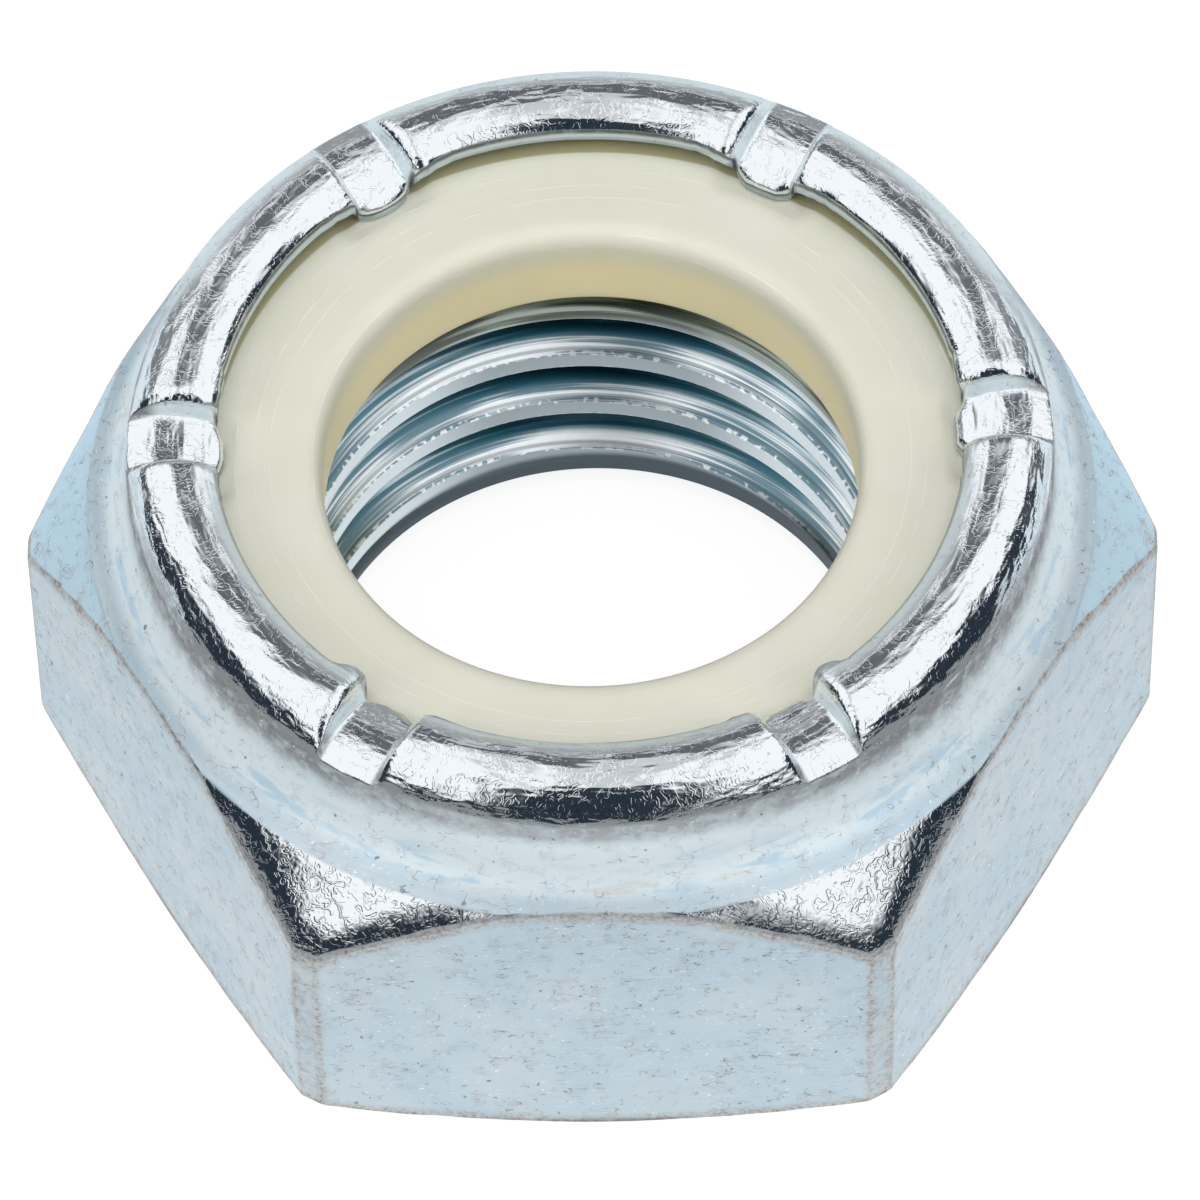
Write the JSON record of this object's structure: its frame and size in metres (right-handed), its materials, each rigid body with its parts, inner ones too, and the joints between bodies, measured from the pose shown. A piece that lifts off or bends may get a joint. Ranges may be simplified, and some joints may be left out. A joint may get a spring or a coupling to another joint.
{
  "type": "nylon insert lock nut",
  "caption": "Hexagonal lock nut whose rolled and staked collar holds a nylon locking ring above the threaded bore.",
  "frame": {"origin": "centre of the bearing face, on the thread's axis", "axes": "+Z along the thread, from the bearing face towards the nylon insert; flats of the hexagon face -Y and +Y"},
  "size_m": [0.0274, 0.024, 0.0124],
  "materials": {
    "zinc_steel": "pale blue-grey bright zinc plating, satin on the flats and shiny on the lip",
    "nylon": "smooth cream nylon with a soft sheen"
  },
  "bodies": {
    "root": {"nut_body": "zinc_steel", "nylon_ring": "nylon"}
  },
  "joints": []
}
